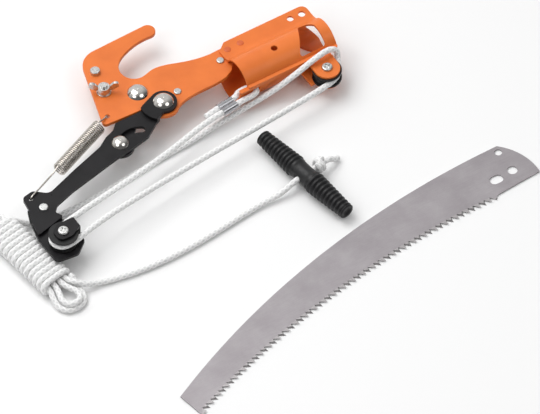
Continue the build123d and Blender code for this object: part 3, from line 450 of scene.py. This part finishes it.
def hankWraps():
    # each wrap is a flat loop with half-round ends, twelve points a turn
    half = 1.5 * hank["run"]
    layer, flat = hank["layer"], half * 0.4
    reach = layer / math.cos(math.radians(22.5))

    def roundEnd(middle, angles):
        turns = [math.radians(a) for a in angles]
        return [(middle + reach * math.cos(a), reach * math.sin(a)) for a in turns]

    outline = [(-flat, -layer), (flat, -layer)]
    outline += roundEnd(half, (-67.5, -22.5, 22.5, 67.5))
    outline += [(flat, layer), (-flat, layer)]
    outline += roundEnd(-half, (112.5, 157.5, 202.5, 247.5))
    # the rope comes in at the side the lever is on, so the first wrap starts there
    order = outline[5:] + outline[:5]
    points = []
    for turn in range(hank["wraps"]):
        for n, (across, up) in enumerate(order):
            share = (turn * 12 + n) / 12
            lean = 0.35 * math.sin(2.3 * turn) * across / half
            along = hank["firstWrap"] + hank["pitch"] * share + lean * 0.3
            points.append(inHank(along, across, hank["middle"] + up))
    return points


runs = [hank["run"] * (n - 1.5) for n in range(4)]
midZ = hank["middle"]
# the two folds at the top cross, one above the other
foldLow, foldHigh = midZ - hank["foldLift"], midZ + hank["foldLift"]
handle = {"endA": (55.0, -63.0), "endB": (70.5, -164.5), "length": 103.0, "radius": 9.5, "endRadius": 6.6,
          "waistRadius": 8.0, "waistHalf": 9.0, "ribs": 10, "ribDepth": 1.7, "hole": 3.1, "segments": 48}
handleMiddle = tuple((a + b) / 2 for a, b in zip(handle["endA"], handle["endB"]))
handleTurn = math.atan2(handle["endB"][1] - handle["endA"][1], handle["endB"][0] - handle["endA"][0])
knot = {"radius": 5.6, "coil": 4.4, "spread": 6.4, "turns": 2, "perTurn": 12, "ropeMetres": 0.0046}


def besideHandle(distance, height):
    x, y = handleMiddle
    return (x - math.sin(handleTurn) * distance, y + math.cos(handleTurn) * distance, height)


pullRoute = [
    ropeJoint,
    *wheelCorner,
    (145.6, -31.2, 18.4),
    (147.4, -28.2, 26.2),
    (139.4, -27.8, 32.0),
    (122.0, -29.4, 28.8),
    (106.0, -28.6, 20.2),
    (86.0, -27.6, 12.0),
    (62.0, -26.4, 6.4),
    (34.0, -27.6, 3.4),
    (4.0, -31.0, lowZ),
    (-30.0, -33.4, lowZ),
    (-66.0, -38.6, lowZ),
    (-104.0, -41.6, lowZ),
    (-134.0, -41.0, lowZ),
    (-150.0, -36.0, lowZ),
    *hankWraps(),
    inHank(78.5, 13.8, 6.0),
    inHank(85, 12.6, lowZ + 0.4),
    inHank(93, 12.2, lowZ),
    inHank(99.6, 7.4, lowZ),
    inHank(101.0, 0, lowZ),
    inHank(99.6, -7.4, lowZ),
    inHank(93, -12.2, lowZ),
    inHank(84, -11.4, 4.6),
    inHank(75, runs[0] - 0.3, midZ),
    inHank(40, runs[0], midZ),
    inHank(6, runs[0], midZ),
    inHank(-3, runs[0], foldLow),
    inHank(-9.4, runs[0] + 1.4, foldLow),
    inHank(-9.4, runs[2] - 1.4, foldLow),
    inHank(-3, runs[2], foldLow),
    inHank(6, runs[2], midZ),
    inHank(40, runs[2], midZ),
    inHank(74, runs[2], midZ),
    inHank(81, 3.6, 7.4),
    inHank(91, 8.2, 7.0),
    inHank(98.4, 5.0, 6.8),
    inHank(98.4, -5.0, 6.8),
    inHank(91, -8.2, 7.0),
    inHank(82, -4.6, 7.4),
    inHank(74, runs[1], midZ),
    inHank(40, runs[1], midZ),
    inHank(6, runs[1], midZ),
    inHank(-3, runs[1], foldHigh),
    inHank(-9.4, runs[1] + 1.4, foldHigh),
    inHank(-9.4, runs[3] - 1.4, foldHigh),
    inHank(-3, runs[3], foldHigh),
    inHank(6, runs[3], midZ),
    inHank(40, runs[3], midZ),
    inHank(73, runs[3], midZ),
    inHank(80, 9.4, 8.6),
    inHank(85, 13.2, 8.8),
    inHank(89, 18.0, 6.4),
    (-134.0, -117.6, lowZ + 0.6),
    (-119.0, -121.3, lowZ),
    (-89.0, -125.6, lowZ),
    (-54.0, -125.2, lowZ),
    (-18.0, -121.3, lowZ),
    (16.0, -116.6, lowZ),
    besideHandle(-26.0, 4.6),
    besideHandle(-11.0, handle["radius"]),
    besideHandle(handle["waistRadius"] + 1.4, handle["radius"]),
    besideHandle(handle["radius"] + 2 * knot["radius"] + 2.0, handle["radius"]),
    besideHandle(handle["radius"] + 2 * knot["radius"] + 6.0, 8.6),
    besideHandle(handle["radius"] + 2 * knot["radius"] + 10.0, 4.4),
    besideHandle(handle["radius"] + 2 * knot["radius"] + 14.6, lowZ),
]
pullRope, pullPath, pullLength = ropeTube("pull_rope", [place(*p) for p in pullRoute],
                                          dict(rope, **pullRopeMesh))
print("pull rope", round(pullLength, 3))

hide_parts("rope_tail", "rope_hank", "rope_pull", "rope_end")
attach(pullRope, "root")


# toggle handle: two ribbed halves, each a little slimmer towards its end, and a smooth waist
def makeHandle():
    half, waist = handle["length"] / 2, handle["waistHalf"]
    start = waist + 1.6
    pitch = (half - 1.2 - start) / handle["ribs"]
    radius, waistRadius, endRadius = handle["radius"], handle["waistRadius"], handle["endRadius"]
    sideProfile = [(waistRadius - 0.15, 0), (waistRadius, waist * 0.5), (waistRadius + 0.15, waist - 0.6),
                   (waistRadius + 0.6, waist)]
    # how far along each rib, and how deep below its crest
    ribShape = ((0.04, 1.0), (0.2, 0.85), (0.3, 0.12), (0.4, 0.0), (0.62, 0.0), (0.72, 0.12), (0.82, 0.85))
    for n in range(handle["ribs"]):
        foot = start + n * pitch
        crest = radius + (endRadius - radius) * (foot + pitch / 2 - start) / (half - start)
        for share, depth in ribShape:
            sideProfile.append((crest - handle["ribDepth"] * depth, foot + pitch * share))
    sideProfile += [(endRadius - 0.2, half - 1.1), (endRadius, half - 0.9), (endRadius, half - 0.4),
                    (endRadius - 0.4, half), (3.6, half), (3.3, half - 0.9), (0.2, half - 0.9)]
    profile = [(r, -h) for r, h in reversed(sideProfile[1:])] + sideProfile
    at = place(handleMiddle[0], handleMiddle[1], handle["radius"])
    axis = Vector((math.cos(handleTurn), math.sin(handleTurn), 0))
    piece = lathe("toggle_grip", profile, handle["segments"], at, handleRubber, axis)
    # bore for the rope, cut through the waist
    across = Vector((-math.sin(handleTurn), math.cos(handleTurn), 0))
    bore = lathe("bore", [(handle["hole"], -20), (handle["hole"], 20)], 24, at, handleRubber, across)
    cut = piece.modifiers.new("bore", "BOOLEAN")
    cut.operation = "DIFFERENCE"
    cut.solver = "EXACT"
    cut.object = bore
    graph = bpy.context.evaluated_depsgraph_get()
    result = bpy.data.meshes.new_from_object(piece.evaluated_get(graph))
    piece.modifiers.clear()
    piece.data = result
    bpy.data.objects.remove(bore)
    return piece


grip = makeHandle()
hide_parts("toggle_handle")
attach(grip, "root")


def makeKnot():
    # the knot's bulk: the rope coils twice, side by side
    centre = besideHandle(handle["radius"] + knot["radius"] + 0.3, handle["radius"])
    at = place(*centre)
    across = Vector((-math.sin(handleTurn), math.cos(handleTurn), 0))
    up = Vector((0, 0, 1))
    side = across.cross(up)
    points = []
    count = knot["turns"] * knot["perTurn"]
    for n in range(count + 1):
        angle = 2 * math.pi * n / knot["perTurn"]
        reach = knot["coil"] * mm
        spot = at + across * ((n / count - 0.5) * knot["spread"] * mm)
        points.append(spot + up * (math.cos(angle) * reach) + side * (math.sin(angle) * reach))
    return ropeTube("end_knot", points, dict(rope, diameter=knot["ropeMetres"]))[0]


endKnot = makeKnot()
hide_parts("toggle_knot")
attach(endKnot, "root")


# return spring: real coils, with a wire hook at each end
spring = {"plateHole": (-45.0, 12.5), "leverHole": (-142.1, -29.0), "level": 21.2, "wire": 1.42,
          "radius": 5.45, "coilStart": 10.8, "coilLength": 57.0, "turns": 30, "hookLift": 3.0}


def makeSpring():
    a = Vector(place(*spring["plateHole"], spring["level"]))
    b = Vector(place(*spring["leverHole"], spring["level"]))
    along = (b - a).normalized()
    side = along.cross(Vector((0, 0, 1))).normalized()
    up = side.cross(along)
    span = (b - a).length / mm

    def spot(distance, height, out=0.0):
        return a + along * (distance * mm) + up * (height * mm) + side * (out * mm)

    lift = spring["hookLift"]
    points = [spot(4.6, -lift), spot(1.0, -lift), spot(0, -lift * 0.6), spot(0, lift * 0.6), spot(1.0, lift)]
    points += [spot(4, lift), spot(spring["coilStart"] - 3, lift + 0.8)]
    points += [spot(spring["coilStart"] - 0.6, spring["radius"] * 0.9)]
    count = spring["turns"] * 12
    for n in range(count + 1):
        angle = 2 * math.pi * n / 12
        points.append(spot(spring["coilStart"] + 0.7 + (spring["coilLength"] - 1.4) * n / count,
                           spring["radius"] * math.cos(angle), spring["radius"] * math.sin(angle)))
    coilEnd = spring["coilStart"] + spring["coilLength"]
    points += [spot(coilEnd + 1, spring["radius"]), spot(coilEnd + 5, lift + 0.3)]
    points += [spot(span - 12, lift), spot(span - 5, lift), spot(span - 1.0, lift), spot(span, lift * 0.6)]
    points += [spot(span, -lift * 0.6), spot(span - 1.0, -lift), spot(span - 3.4, -lift)]
    curve = bpy.data.curves.new("return_spring_wire", "CURVE")
    curve.dimensions = "3D"
    curve.resolution_u = 2
    curve.bevel_depth = spring["wire"] / 2 * mm
    curve.bevel_resolution = 2
    curve.use_fill_caps = True
    line = curve.splines.new("NURBS")
    line.points.add(len(points) - 1)
    for point, co in zip(line.points, points):
        point.co = (*co, 1)
    line.order_u = 3
    line.use_endpoint_u = True
    wire = bpy.data.objects.new("wire", curve)
    bpy.context.scene.collection.objects.link(wire)
    graph = bpy.context.evaluated_depsgraph_get()
    mesh = bpy.data.meshes.new_from_object(wire.evaluated_get(graph))
    bpy.data.objects.remove(wire)
    piece = bpy.data.objects.new("coil_spring", mesh)
    bpy.context.scene.collection.objects.link(piece)
    mesh.materials.clear()
    mesh.materials.append(springWire)
    for face in mesh.polygons:
        face.use_smooth = True
    return piece


coilSpring = makeSpring()
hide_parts("return_spring")
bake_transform(coilSpring)


# two spot welds on the socket's flange, covered by the paint; their darker orange is painted shade of the weld
# dimples
spotWeld = {"places": [(73.2, 20.4), (85.6, 20.8)], "level": 24.55, "radius": 2.9, "height": 0.35,
            "count": 20, "rings": 8}


def nodeSocket(tree, name, kind, value):
    socket = tree.interface.new_socket(name, in_out="INPUT", socket_type=kind)
    socket.default_value = value
    return socket.identifier


def spotWeldTree():
    tree = bpy.data.node_groups.new("spot welds", "GeometryNodeTree")
    tree.interface.new_socket("Geometry", in_out="INPUT", socket_type="NodeSocketGeometry")
    ids = {"radius": nodeSocket(tree, "Radius", "NodeSocketFloat", 0.003),
           "height": nodeSocket(tree, "Height", "NodeSocketFloat", 0.0003)}
    tree.interface.new_socket("Geometry", in_out="OUTPUT", socket_type="NodeSocketGeometry")
    start, end = tree.nodes.new("NodeGroupInput"), tree.nodes.new("NodeGroupOutput")
    button = tree.nodes.new("GeometryNodeMeshUVSphere")
    button.inputs["Segments"].default_value = spotWeld["count"]
    button.inputs["Rings"].default_value = spotWeld["rings"]
    button.inputs["Radius"].default_value = 1.0
    size = tree.nodes.new("ShaderNodeCombineXYZ")
    tree.links.new(start.outputs["Radius"], size.inputs["X"])
    tree.links.new(start.outputs["Radius"], size.inputs["Y"])
    tree.links.new(start.outputs["Height"], size.inputs["Z"])
    spread = tree.nodes.new("GeometryNodeInstanceOnPoints")
    tree.links.new(start.outputs["Geometry"], spread.inputs["Points"])
    tree.links.new(button.outputs["Mesh"], spread.inputs["Instance"])
    tree.links.new(size.outputs["Vector"], spread.inputs["Scale"])
    real = tree.nodes.new("GeometryNodeRealizeInstances")
    tree.links.new(spread.outputs["Instances"], real.inputs["Geometry"])
    paint = tree.nodes.new("GeometryNodeSetMaterial")
    paint.inputs["Material"].default_value = weldShadedPaint
    tree.links.new(real.outputs["Geometry"], paint.inputs["Geometry"])
    tree.links.new(paint.outputs["Geometry"], end.inputs["Geometry"])
    return tree, ids


# painted shade: a darker orange than the flange paint, standing in for the shade in the shallow weld dimples
weldShadedPaint = paintedSteel("orange paint darkened as painted weld dimple shade", (0.66, 0.13, 0.03), (0.58, 0.11, 0.025), 0.4, 0.1, 0.12)


def makeSpotWelds():
    spots = [place(x, y, spotWeld["level"]) for x, y in spotWeld["places"]]
    points = addMesh("spot_welds", spots, [], weldShadedPaint)
    tree, ids = spotWeldTree()
    grow = points.modifiers.new("welds", "NODES")
    grow.node_group = tree
    grow[ids["radius"]] = spotWeld["radius"] * mm
    grow[ids["height"]] = spotWeld["height"] * mm
    return realMesh(points)


def realMesh(piece):
    graph = bpy.context.evaluated_depsgraph_get()
    mesh = bpy.data.meshes.new_from_object(piece.evaluated_get(graph))
    piece.modifiers.clear()
    piece.data = mesh
    for face in mesh.polygons:
        face.use_smooth = True
    return piece


spotWelds = makeSpotWelds()
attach(spotWelds, "root")


# saw blade: wedge-ground teeth along a curved edge
saw = {"tipBack": (-138.5, -250.0), "tipEdge": (-133.5, -275.4), "backMid": (21.0, -188.4),
       "backEnd": (213.0, -164.3), "tangCurve": (222.6, -176.5), "tangLow": (228.2, -204.6),
       "heel": (188.5, -207.4), "heelCurve": (185.0, -208.6), "toothStart": (183.6, -211.5),
       "toothMid": (36.0, -224.6), "teeth": 62, "depth": 4.8, "lean": 0.9, "firstDepth": 1.2,
       "thickness": 1.2, "boltHole": (210.6, -170.4, 3.25), "studHole": (210.107, -192.109, 4.25),
       "slot": (194.0, -193.6, 11.8, 8.4)}


def circleThrough(p, q, r):
    # centre, radius, start angle and turn of the arc through p, q and r
    ax, ay, bx, by, cx, cy = *p, *q, *r
    d = 2 * (ax * (by - cy) + bx * (cy - ay) + cx * (ay - by))
    ux = ((ax**2 + ay**2) * (by - cy) + (bx**2 + by**2) * (cy - ay) + (cx**2 + cy**2) * (ay - by)) / d
    uy = ((ax**2 + ay**2) * (cx - bx) + (bx**2 + by**2) * (ax - cx) + (cx**2 + cy**2) * (bx - ax)) / d
    radius = math.hypot(ax - ux, ay - uy)
    start, mid, end = (math.atan2(y - uy, x - ux) for x, y in (p, q, r))
    turn = (end - start + math.pi) % (2 * math.pi) - math.pi
    half = (mid - start + math.pi) % (2 * math.pi) - math.pi
    if turn * half < 0:
        turn -= math.copysign(2 * math.pi, turn)
    return (ux, uy), radius, start, turn


def arcPoints(p, q, r, count):
    (ux, uy), radius, start, turn = circleThrough(p, q, r)
    angles = [start + turn * n / count for n in range(count + 1)]
    return [(ux + radius * math.cos(a), uy + radius * math.sin(a)) for a in angles]


def hole(x, y, radius, count=24):
    angles = [2 * math.pi * n / count for n in range(count)]
    return [(x + radius * math.cos(a), y + radius * math.sin(a)) for a in angles]


def slotHole(x, y, length, width, turn, count=10):
    points = []
    for end in (1, -1):
        for n in range(count + 1):
            angle = math.radians(-90 + 180 * n / count) + (0 if end > 0 else math.pi)
            along = end * (length - width) / 2 + width / 2 * math.cos(angle)
            points.append((along, width / 2 * math.sin(angle)))
    c, s = math.cos(turn), math.sin(turn)
    return [(x + a * c - b * s, y + a * s + b * c) for a, b in points]


def plateWithHoles(work, outline, holes, low, high):
    # flat plate from an outline and hole loops
    edges = []
    for ring in [outline] + holes:
        verts = [work.verts.new(place(x, y, high)) for x, y in ring]
        edges += [work.edges.new((verts[n], verts[(n + 1) % len(verts)])) for n in range(len(verts))]
    filled = bmesh.ops.triangle_fill(work, use_beauty=True, use_dissolve=False, edges=edges)
    top = [f for f in filled["geom"] if isinstance(f, bmesh.types.BMFace)]
    pushed = bmesh.ops.extrude_face_region(work, geom=top)
    moved = [v for v in pushed["geom"] if isinstance(v, bmesh.types.BMVert)]
    bmesh.ops.translate(work, verts=moved, vec=(0, 0, (low - high) * mm))


def makeSaw():
    (ux, uy), radius, start, turn = circleThrough(saw["toothStart"], saw["toothMid"], saw["tipEdge"])
    thick = saw["thickness"]

    # the toothed edge curves round a centre below the blade, so inwards is away from that centre
    def onLine(share, inward):
        angle = start + turn * share
        reach = radius + inward
        return (ux + reach * math.cos(angle), uy + reach * math.sin(angle))

    step = 1 / saw["teeth"]
    gullets = [onLine((n + saw["lean"]) * step, saw["depth"]) for n in range(saw["teeth"] - 1)]
    gullets.append(saw["tipEdge"])
    bodyOutline = arcPoints(saw["tipBack"], saw["backMid"], saw["backEnd"], 48)
    bodyOutline += arcPoints(saw["backEnd"], saw["tangCurve"], saw["tangLow"], 10)[1:]
    bodyOutline += [saw["heel"]] + arcPoints(saw["heel"], saw["heelCurve"], saw["toothStart"], 5)[1:-1]
    bodyOutline += [onLine(0.0, saw["firstDepth"])] + gullets
    holes = [hole(*saw["boltHole"]), hole(*saw["studHole"]), slotHole(*saw["slot"], math.radians(-2))]
    work = bmesh.new()
    plateWithHoles(work, bodyOutline, holes, 0, thick)
    # each tooth is a wedge, ground thin on alternate sides towards its two flanks
    for n in range(saw["teeth"]):
        tip = onLine(n * step, 0)
        before = onLine(0.0, saw["firstDepth"]) if n == 0 else gullets[n - 1]
        after = gullets[n]
        middle = ((before[0] + after[0]) / 2, (before[1] + after[1]) / 2)
        faceUp = n % 2 == 0
        full, ground = (0.0, thick) if faceUp else (thick, 0.0)
        inset = [(p[0] + (middle[0] - p[0]) * share, p[1] + (middle[1] - p[1]) * share)
                 for p, share in ((before, 0.12), (tip, 0.5), (after, 0.3))]
        base = [work.verts.new(place(*p, full)) for p in (before, tip, after)]
        roof = [work.verts.new(place(*p, ground)) for p in inset]
        rootA, rootB = work.verts.new(place(*before, ground)), work.verts.new(place(*after, ground))
        for ring in ((base[0], base[1], base[2]), (roof[0], roof[1], roof[2]),
                     (base[0], base[1], roof[1], roof[0]), (base[1], base[2], roof[2], roof[1]),
                     (rootA, roof[0], roof[2], rootB), (base[0], roof[0], rootA),
                     (base[2], rootB, roof[2]), (base[0], rootA, rootB, base[2])):
            face = work.faces.new(ring)
            face.material_index = 1
    bmesh.ops.remove_doubles(work, verts=work.verts, dist=0.000002)
    bmesh.ops.recalc_face_normals(work, faces=work.faces)
    mesh = bpy.data.meshes.new("pruning_saw")
    work.to_mesh(mesh)
    work.free()
    piece = bpy.data.objects.new("pruning_saw", mesh)
    bpy.context.scene.collection.objects.link(piece)
    mesh.materials.append(sawBody)
    mesh.materials.append(toothSteel)
    for face in mesh.polygons:
        face.use_smooth = False
    return piece


pruningSaw = makeSaw()
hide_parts("saw_blade")
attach(pruningSaw, "saw")
print("rope, handle, spring and saw done")


# camera, lights, floor and surroundings
studio = {"target": (25.3, -121.1, 0.0), "azimuth": -32.0, "elevation": 50.0, "distance": 9.0, "lens": 750.0,
          "floorHalf": 3.0, "floorDrop": 0.0003}
# azimuth, elevation, distance, size and watts
lights = {"key": (-155, 60, 1.7, 1.3, 15), "side": (-85, 48, 1.8, 0.9, 5), "fill": (30, 55, 1.9, 1.2, 7)}


def lookFrom(azimuth, elevation, distance, target):
    a, e = math.radians(azimuth), math.radians(elevation)
    return target + Vector((math.sin(a) * math.cos(e), -math.cos(a) * math.cos(e), math.sin(e))) * distance


def addCamera():
    target = place(*studio["target"])
    data = bpy.data.cameras.new("camera")
    data.lens = studio["lens"]
    data.sensor_width = 36
    data.clip_end = 60
    camera = bpy.data.objects.new("camera", data)
    camera.location = lookFrom(studio["azimuth"], studio["elevation"], studio["distance"], target)
    camera.rotation_euler = (target - camera.location).to_track_quat("-Z", "Y").to_euler()
    bpy.context.scene.collection.objects.link(camera)
    bpy.context.scene.camera = camera


def addLight(name, azimuth, elevation, distance, size, watts):
    data = bpy.data.lights.new(name, "AREA")
    data.shape = "DISK"
    data.size = size
    data.energy = watts
    light = bpy.data.objects.new(name, data)
    target = place(*studio["target"])
    light.location = lookFrom(azimuth, elevation, distance, target)
    light.rotation_euler = (target - light.location).to_track_quat("-Z", "Y").to_euler()
    bpy.context.scene.collection.objects.link(light)


def addFloor():
    half = studio["floorHalf"]
    corners = [(-half, -half, 0), (half, -half, 0), (half, half, 0), (-half, half, 0)]
    matt = newMaterial("floor", (0.9, 0.9, 0.9), 0.9, specular=0.1)[0]
    floor = addMesh("floor", corners, [(0, 1, 2, 3)], matt, False)
    floor.location.z = -studio["floorDrop"]


def addWorld():
    world = bpy.data.worlds.new("studio")
    bpy.context.scene.world = world
    world.use_nodes = True
    tree = world.node_tree
    coords = tree.nodes.new("ShaderNodeTexCoord")
    split = tree.nodes.new("ShaderNodeSeparateXYZ")
    tree.links.new(coords.outputs["Generated"], split.inputs[0])
    # a bright wall and ceiling behind the object, darker in front
    lean = tree.nodes.new("ShaderNodeMath")
    lean.operation = "MULTIPLY_ADD"
    tree.links.new(split.outputs["Z"], lean.inputs[0])
    lean.inputs[1].default_value = 0.6
    tree.links.new(split.outputs["Y"], lean.inputs[2])
    tree.links.new(ramp(tree, lean.outputs[0], [(0.0, grey(0.14)), (0.35, grey(0.38)), (0.9, grey(0.8))]),
                   tree.nodes["Background"].inputs["Color"])
    tree.nodes["Background"].inputs["Strength"].default_value = 1.0


addCamera()
for lightName, values in lights.items():
    addLight(lightName, *values)
addFloor()
addWorld()
bpy.context.scene.view_settings.view_transform = "Standard"
